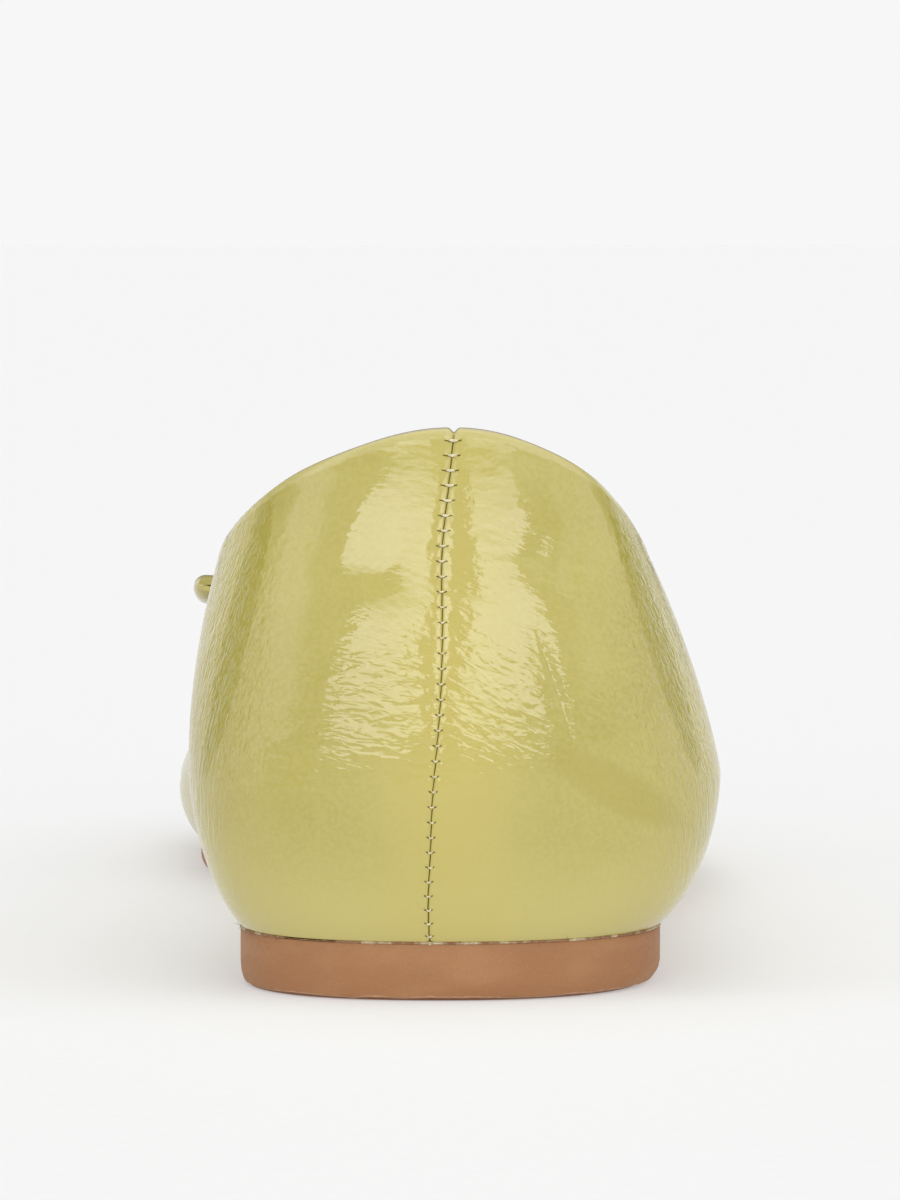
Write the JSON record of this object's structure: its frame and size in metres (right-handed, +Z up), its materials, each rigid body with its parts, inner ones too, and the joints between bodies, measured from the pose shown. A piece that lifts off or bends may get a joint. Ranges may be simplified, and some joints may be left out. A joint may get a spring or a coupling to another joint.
{
  "type": "ballet flat",
  "caption": "Low ballet flat for the right foot with a hollow leather upper, moulded rubber sole with a low heel, and a small bow at the throat.",
  "frame": {"origin": "centre of the shoe's footprint box, on the floor", "axes": "+Y from heel to toe, +Z up, +X to the lateral side of the right foot"},
  "size_m": [0.0792, 0.2484, 0.0704],
  "materials": {
    "upper_leather": "glossy crinkled patent",
    "sole_rubber": "matt moulded",
    "insole_leather": "smooth matt lining"
  },
  "bodies": {
    "root": {"outsole": "sole_rubber", "upper": "upper_leather", "insole": "insole_leather", "bow_loop_medial": "upper_leather", "bow_loop_lateral": "upper_leather", "bow_knot": "upper_leather"}
  },
  "joints": []
}
